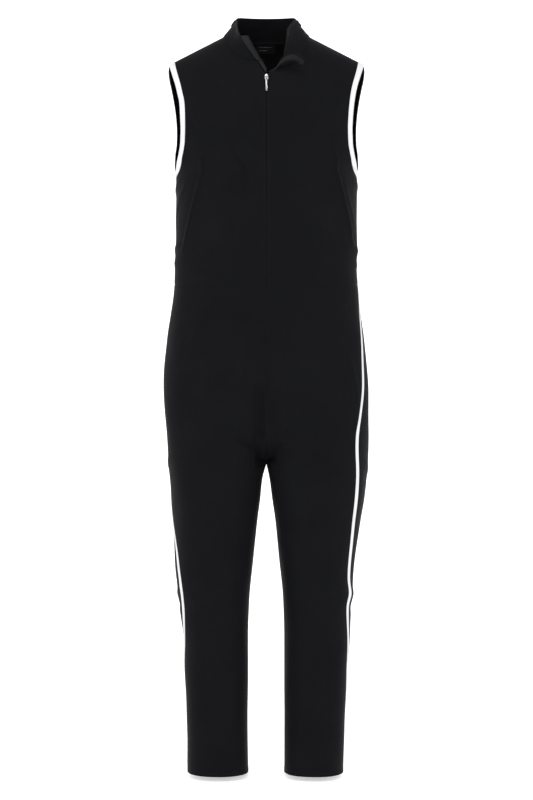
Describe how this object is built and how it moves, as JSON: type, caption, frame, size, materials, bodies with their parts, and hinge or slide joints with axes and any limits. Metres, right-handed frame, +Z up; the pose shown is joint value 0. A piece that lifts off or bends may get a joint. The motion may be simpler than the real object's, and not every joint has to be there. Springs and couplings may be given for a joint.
{
  "type": "sleeveless jumpsuit",
  "caption": "Sleeveless zip-front jumpsuit with a stand collar, waist seam, tapered long legs and contrast side stripes, worn and filled out",
  "frame": {"origin": "where the wearer's neck and shoulders hold the garment: on the centre line, level with the points where the shoulder seams meet the collar", "axes": "+Z is up, the front faces -Y, and the wearer's left side is +X"},
  "size_m": [0.3904, 0.2561, 1.442],
  "materials": {
    "cloth": "matte",
    "white_tape": "matte",
    "black_tape": "satin",
    "metal": "polished"
  },
  "bodies": {
    "garment": {"front_bodice_right": "cloth", "front_bodice_left": "cloth", "back_bodice": "cloth", "collar": "cloth", "trouser_front_right": "cloth", "trouser_front_left": "cloth", "trouser_back_right": "cloth", "trouser_back_left": "cloth", "armhole_tape_right": "white_tape", "armhole_tape_left": "white_tape", "bodice_stripe_right": "white_tape", "bodice_stripe_left": "white_tape", "leg_stripe_right": "white_tape", "leg_stripe_left": "white_tape", "zip_tape_right": "black_tape", "zip_tape_left": "black_tape", "neck_label": "black_tape", "zip_slider": "metal"},
    "pull_tab": {"pull_tab": "metal"}
  },
  "joints": [
    {"name": "pull_tab_hinge", "type": "hinge", "parent": "garment", "child": "pull_tab", "pos_m": [0, -0.09651, -0.08134], "axis": [-1, 0, 0], "range_deg": [0, 150]}
  ]
}
